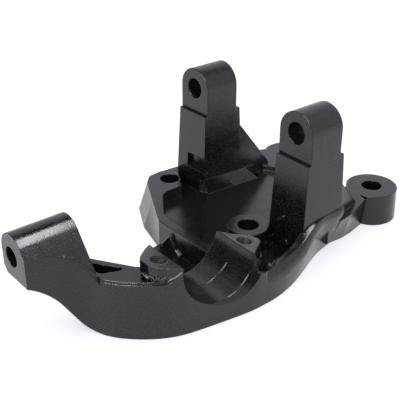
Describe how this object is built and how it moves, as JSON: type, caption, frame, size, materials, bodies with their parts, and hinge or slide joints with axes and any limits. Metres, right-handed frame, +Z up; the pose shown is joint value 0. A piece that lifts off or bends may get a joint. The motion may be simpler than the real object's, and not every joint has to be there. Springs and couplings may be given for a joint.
{
  "type": "axle bearing block",
  "caption": "Cast bracket that clamps a round axle in a half-round seat, with a bolted tray base, upright pin ears and a curved arm ending in a cross-bored hub.",
  "frame": {"origin": "midway between the two front bolt holes, on the flat bolted underside", "axes": "+X along the front bolt row towards the ear beside the seat, +Y from the front bolt row to the rear one, +Z up out of the bolted underside"},
  "size_m": [0.2283, 0.4325, 0.1593],
  "materials": {
    "painted_casting": "gloss dark grey paint over an as-cast skin"
  },
  "bodies": {
    "root": {"bearing_block": "painted_casting"}
  },
  "joints": []
}
